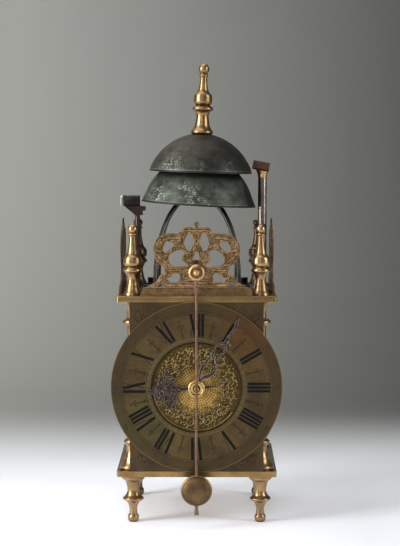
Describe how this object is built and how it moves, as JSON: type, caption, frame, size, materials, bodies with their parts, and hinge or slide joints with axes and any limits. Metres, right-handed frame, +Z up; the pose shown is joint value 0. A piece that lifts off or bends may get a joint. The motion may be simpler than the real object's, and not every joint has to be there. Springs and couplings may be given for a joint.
{
  "type": "lantern clock",
  "caption": "Brass lantern clock on turned feet: square frame with corner pillars, round dial with two pierced hands, front pendulum, pierced frets, two stacked bells and hammers.",
  "frame": {"origin": "on the surface the feet stand on, under the middle of the bounding box of the whole clock", "axes": "+X to the right seen from the front, +Y to the back, +Z up; the dial faces -Y"},
  "size_m": [0.16, 0.1724, 0.4335],
  "materials": {
    "turned_brass": "turned and worn, semi-gloss with brown tarnish in the hollows",
    "plate_brass": "tarnished sheet, satin",
    "dial_brass": "patinated dark brass, satin, black filled engraving",
    "engraved_brass": "engraved brass, brighter around the hands",
    "fret_brass": "olive brown engraved brass, satin",
    "screw_steel": "blackened steel",
    "black_iron": "forged iron, black with bright worn edges",
    "lower_bell_bronze": "cast bell metal, grey green and pitted",
    "upper_bell_bronze": "cast bell metal, dark grey brown",
    "hand_steel": "dark steel with bright worn edges",
    "polished_brass": "polished brass with dark grooves",
    "rod_steel": "thin rod, rusty brown",
    "bob_brass": "dull dark brown brass",
    "hammer_steel": "bright grey steel",
    "rusty_iron": "rusty brown iron",
    "movement_brass": "plain brass",
    "arbor_steel": "turned steel"
  },
  "bodies": {
    "clock_frame": {"bottom_plate": "plate_brass", "top_plate": "plate_brass", "feet": "turned_brass", "pillars": "turned_brass", "corner_finials": "turned_brass", "dial_plate": "dial_brass", "chapter_ring": "dial_brass", "dial_centre": "engraved_brass", "dial_pins": "dial_brass", "front_fret": "fret_brass", "left_fret": "fret_brass", "right_fret": "fret_brass", "fret_screws": "screw_steel", "bell_strap_left_front": "black_iron", "bell_strap_right_front": "black_iron", "bell_frame_nuts": "screw_steel", "bell_stem": "black_iron", "lower_bell": "lower_bell_bronze", "bell_spacer": "turned_brass", "upper_bell": "upper_bell_bronze", "top_finial": "turned_brass", "back_plate": "plate_brass", "movement_bars": "movement_brass", "minute_wheel_stud": "arbor_steel", "escapement_cocks": "movement_brass", "hammer_cocks": "movement_brass"},
    "minute_arbor": {"centre_arbor": "arbor_steel", "centre_wheel": "movement_brass", "cannon_wheel": "movement_brass", "minute_hand": "hand_steel", "hand_collet": "polished_brass"},
    "going_great": {"going_great_wheel": "movement_brass"},
    "going_third": {"third_wheel": "movement_brass"},
    "going_contrate": {"contrate_wheel": "movement_brass"},
    "going_crown": {"crown_wheel": "movement_brass"},
    "motion_wheel": {"minute_wheel": "movement_brass"},
    "hour_pipe": {"hour_wheel": "movement_brass", "hour_hand": "hand_steel"},
    "pendulum": {"verge": "arbor_steel", "pendulum_boss": "polished_brass", "pendulum_rod": "rod_steel", "pendulum_bob": "bob_brass", "rating_nut": "bob_brass"},
    "left_hammer": {"left_hammer_arbor": "arbor_steel", "left_hammer_shank": "black_iron", "left_hammer_head": "black_iron"},
    "right_hammer": {"right_hammer_arbor": "arbor_steel", "right_hammer_shank": "hammer_steel", "right_hammer_collar": "polished_brass", "right_hammer_head": "rusty_iron"},
    "left_door_leaf": {"left_door": "plate_brass", "left_door_knob": "plate_brass"},
    "right_door_leaf": {"right_door": "plate_brass", "right_door_knob": "plate_brass"},
    "strike_great": {"strike_pin_wheel": "movement_brass", "count_wheel": "movement_brass"},
    "strike_second": {"strike_hoop_wheel": "movement_brass"},
    "strike_third": {"strike_warning_wheel": "movement_brass"},
    "strike_fourth": {"strike_fly": "arbor_steel"}
  },
  "joints": [
    {"name": "minute_hand_spin", "type": "hinge", "parent": "clock_frame", "child": "minute_arbor", "pos_m": [0, -0.02175, 0.13045], "axis": [0, 1, 0], "continuous": true},
    {"name": "great_wheel_spin", "type": "hinge", "parent": "clock_frame", "child": "going_great", "pos_m": [0, -0.04175, 0.092], "axis": [0, 1, 0], "continuous": true},
    {"name": "third_wheel_spin", "type": "hinge", "parent": "clock_frame", "child": "going_third", "pos_m": [0, -0.03275, 0.15285], "axis": [0, 1, 0], "continuous": true},
    {"name": "contrate_wheel_spin", "type": "hinge", "parent": "clock_frame", "child": "going_contrate", "pos_m": [0, -0.00975, 0.17122], "axis": [0, 1, 0], "continuous": true},
    {"name": "crown_wheel_spin", "type": "hinge", "parent": "clock_frame", "child": "going_crown", "pos_m": [0, -0.00332, 0.2], "axis": [0, 0, 1], "continuous": true},
    {"name": "minute_wheel_spin", "type": "hinge", "parent": "clock_frame", "child": "motion_wheel", "pos_m": [0, -0.05275, 0.11245], "axis": [0, 1, 0], "continuous": true},
    {"name": "hour_hand_spin", "type": "hinge", "parent": "clock_frame", "child": "hour_pipe", "pos_m": [0, -0.05675, 0.13045], "axis": [0, 1, 0], "continuous": true},
    {"name": "pendulum_swing", "type": "hinge", "parent": "clock_frame", "child": "pendulum", "pos_m": [0, -0.03875, 0.2388], "axis": [0, 1, 0], "range_deg": [-8, 8]},
    {"name": "left_hammer_swing", "type": "hinge", "parent": "clock_frame", "child": "left_hammer", "pos_m": [-0.057, -0.00875, 0.19], "axis": [0, -1, 0], "range_deg": [-1.3, 5]},
    {"name": "right_hammer_swing", "type": "hinge", "parent": "clock_frame", "child": "right_hammer", "pos_m": [0.052, 0.01125, 0.19], "axis": [0, 1, 0], "range_deg": [-0.5, 2]},
    {"name": "left_door_hinge", "type": "hinge", "parent": "clock_frame", "child": "left_door_leaf", "pos_m": [-0.0627, 0.05675, 0.13045], "axis": [0, 0, -1], "range_deg": [0, 90]},
    {"name": "right_door_hinge", "type": "hinge", "parent": "clock_frame", "child": "right_door_leaf", "pos_m": [0.0627, 0.05675, 0.13045], "axis": [0, 0, 1], "range_deg": [0, 90]},
    {"name": "pin_wheel_spin", "type": "hinge", "parent": "clock_frame", "child": "strike_great", "pos_m": [0, 0.05025, 0.092], "axis": [0, 1, 0], "continuous": true},
    {"name": "hoop_wheel_spin", "type": "hinge", "parent": "clock_frame", "child": "strike_second", "pos_m": [0, 0.02825, 0.13045], "axis": [0, 1, 0], "continuous": true},
    {"name": "warning_wheel_spin", "type": "hinge", "parent": "clock_frame", "child": "strike_third", "pos_m": [0, 0.04025, 0.15285], "axis": [0, 1, 0], "continuous": true},
    {"name": "fly_spin", "type": "hinge", "parent": "clock_frame", "child": "strike_fourth", "pos_m": [0, 0.02125, 0.17122], "axis": [0, 1, 0], "continuous": true}
  ],
  "couplings": [
    {"joint": "great_wheel_spin", "follows": "minute_hand_spin", "ratio": -0.16667},
    {"joint": "third_wheel_spin", "follows": "minute_hand_spin", "ratio": -6},
    {"joint": "contrate_wheel_spin", "follows": "minute_hand_spin", "ratio": 36},
    {"joint": "crown_wheel_spin", "follows": "minute_hand_spin", "ratio": 216},
    {"joint": "minute_wheel_spin", "follows": "minute_hand_spin", "ratio": -0.33333},
    {"joint": "hour_hand_spin", "follows": "minute_hand_spin", "ratio": 0.083333},
    {"joint": "hoop_wheel_spin", "follows": "pin_wheel_spin", "ratio": -6},
    {"joint": "warning_wheel_spin", "follows": "pin_wheel_spin", "ratio": 36},
    {"joint": "fly_spin", "follows": "pin_wheel_spin", "ratio": -216}
  ]
}
